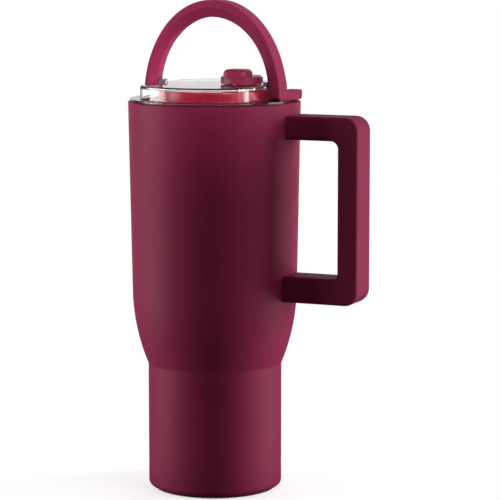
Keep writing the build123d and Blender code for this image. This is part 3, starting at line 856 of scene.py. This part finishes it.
def makeFlipCap():
    rim, x, radius = lid["rim"], spoutPlace["x"], cap["radius"]
    low, top, ceiling, inner = rim + cap["low"], rim + cap["top"], rim + cap["ceiling"], radius - cap["wall"]
    disc = roundOff([
        (0, top, 0), (radius, top, cap["edge"]), (radius, low, 0.3),
        (inner, low, 0.2), (inner, ceiling, 0.5), (0, ceiling, 0),
    ])
    piece = lathe("flipCap", disc, cap["sides"], (x, 0), shape=backFlat)
    middle = (cap["thumbFront"] + cap["thumbBack"]) / 2
    halfX, halfY = cap["thumbWidth"] / 2, (cap["thumbBack"] - cap["thumbFront"]) / 2
    thumb = paddle((x, middle), halfX, halfY, top - cap["thumbLap"], rim + cap["thumbTop"])
    y, z, knuckle = hinge["y"], rim + hinge["z"], hinge["knuckle"]
    start, bend = cap["back"] - cap["wall"] + hinge["armLap"], knuckle - hinge["armRound"]
    arm = roundOff([
        (start, z - knuckle, 0), (y + knuckle, z - knuckle, bend),
        (y + knuckle, z + knuckle, bend), (start, z + knuckle - hinge["armLow"], 0),
    ], steps=10)
    combine(piece, prism("arm", arm, x - hinge["arm"], x + hinge["arm"], along("x")), "UNION")
    combine(piece, thumb, "UNION")
    half = hinge["armBore"]
    bore = cylinder("bore", (y, z), hinge["pin"] + pinFit, x - half, x + half, "x", 32)
    combine(piece, bore, "DIFFERENCE")
    finishPiece(piece, "cap", ["flip_cap"], capSatin)


makeFlipCap()
print("flip cap ready")


# CAD pieces that keep their shape

keptPieces = {
    "base_closure": linerSteel, "vacuum_seal": sealingGlass, "vacuum_getter": getterMetal,
    "handle_bracket_upper": plainSteel, "handle_bracket_lower": plainSteel, "handle_core": blackNylon,
    "handle_screws": plainSteel, "handle_screw_caps": softGrip, "bail_pin_left": plainSteel,
    "bail_pin_right": plainSteel, "bail_washer_left": blackNylon, "bail_washer_right": blackNylon,
    "spout_seal": paleSilicone, "vent_valve": paleSilicone, "cap_hinge_pin": plainSteel,
    "cap_seal": paleSilicone,
}
for name, material in keptPieces.items():
    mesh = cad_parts[name].data
    mesh.materials.clear()
    mesh.materials.append(material)


# studio: camera, floor and soft light; light powers are in watts and their distances in metres

camera = {
    "azimuth": 24.07, "distance": 1397.0, "height": 331.3, "pitch": 7.73, "yaw": -0.855,
    "lens": 171.5, "sensor": 36.0, "far": 50.0,
}
studio = {
    "floor": 1.6, "floorDrop": 0.0002, "floorGlow": 0.55, "clear": (0.045, 0.17),  # fades between these radii
    "backdrop": 1.0, "fill": 0.075,
}
softboxes = {  # turn is from the camera's own direction
    "leftBox": {"turn": -92.0, "power": 10.5, "size": (0.55, 0.9), "distance": 0.95, "height": 0.22},
    "rightBox": {"turn": 92.0, "power": 12.0, "size": (0.55, 0.9), "distance": 0.95, "height": 0.22},
    "frontBox": {"turn": 50.0, "power": 2.2, "size": (0.55, 0.9), "distance": 0.95, "height": 0.60},
    "backCard": {"turn": 180.0, "power": 6.5, "size": (2.2, 1.2), "distance": 1.3, "height": 0.55},
    "lidBox": {
        "turn": 25.0, "power": 0.038, "size": (0.06, 0.06), "distance": 0.80, "height": 0.68,
        "tilt": 27.5, "spread": 10.0, "swing": 1.6,
    },
}


def placeCamera():
    eye = bpy.data.objects.new("camera", bpy.data.cameras.new("camera"))
    bpy.context.scene.collection.objects.link(eye)
    turn = radians(camera["azimuth"])
    reach = camera["distance"] * mm
    eye.location = (reach * sin(turn), -reach * cos(turn), camera["height"] * mm)
    eye.rotation_euler = Euler((radians(90 - camera["pitch"]), 0, turn + radians(camera["yaw"])))
    eye.data.lens = camera["lens"]
    eye.data.sensor_width = camera["sensor"]
    eye.data.clip_end = camera["far"]
    bpy.context.scene.camera = eye


def softbox(name, turn, power, size, distance, height, tilt=0, spread=180, swing=0):
    # an area light that faces the mug, tilted down and swung sideways in degrees
    lamp = bpy.data.lights.new(name, "AREA")
    lamp.shape = "RECTANGLE"
    lamp.size, lamp.size_y = size
    lamp.energy = power
    lamp.spread = radians(spread)
    light = bpy.data.objects.new(name, lamp)
    light.visible_camera = False
    bpy.context.scene.collection.objects.link(light)
    angle = radians(camera["azimuth"] + turn)
    light.location = (distance * sin(angle), -distance * cos(angle), height)
    light.rotation_euler = Euler((radians(90 - tilt), 0, angle + radians(swing)))


def placeFloor():
    bpy.ops.mesh.primitive_circle_add(vertices=96, radius=studio["floor"], fill_type="NGON")
    floor = bpy.context.object
    floor.name = "floor"
    floor.location = (0, 0, -studio["floorDrop"])
    recipe = Recipe("paleFloor", **{
        "Roughness": 0.9, "Specular IOR Level": 0.1,
        "Emission Color": (1, 1, 1, 1), "Emission Strength": studio["floorGlow"],
    })
    recipe.feed("Base Color", recipe.tint(recipe.noise(6.0), (0.90, 0.90, 0.90), (0.92, 0.92, 0.92)))
    reach = recipe.node("ShaderNodeVectorMath", {"operation": "LENGTH"}, {0: recipe.where})["Value"]
    recipe.feed("Alpha", recipe.spread(reach, 1.0, 0.0, *studio["clear"]))
    floor.data.materials.append(recipe.material)
    floor.visible_diffuse = floor.visible_glossy = False  # it throws no light back on the mug


def lightWorld():
    world = bpy.data.worlds.new("studio")
    bpy.context.scene.world = world
    world.use_nodes = True
    sky = Tree(world.node_tree)
    path = sky.node("ShaderNodeLightPath", {}, {})
    bounced = sky.maths("MINIMUM", path["Glossy Depth"] + path["Diffuse Depth"], 1.0)
    seen = path["Is Camera Ray"] + path["Is Transmission Ray"] * (1 - bounced)
    strength = studio["fill"] + seen * (studio["backdrop"] - studio["fill"])  # white behind clear parts
    glow = sky.node("ShaderNodeBackground", {}, {"Color": (1, 1, 1, 1), "Strength": strength})
    sky.node("ShaderNodeOutputWorld", {}, {"Surface": glow[0]})


placeCamera()
placeFloor()
lightWorld()
for name, values in softboxes.items():
    softbox(name, **values)
bpy.context.scene.view_settings.view_transform = "Standard"
print("studio ready")
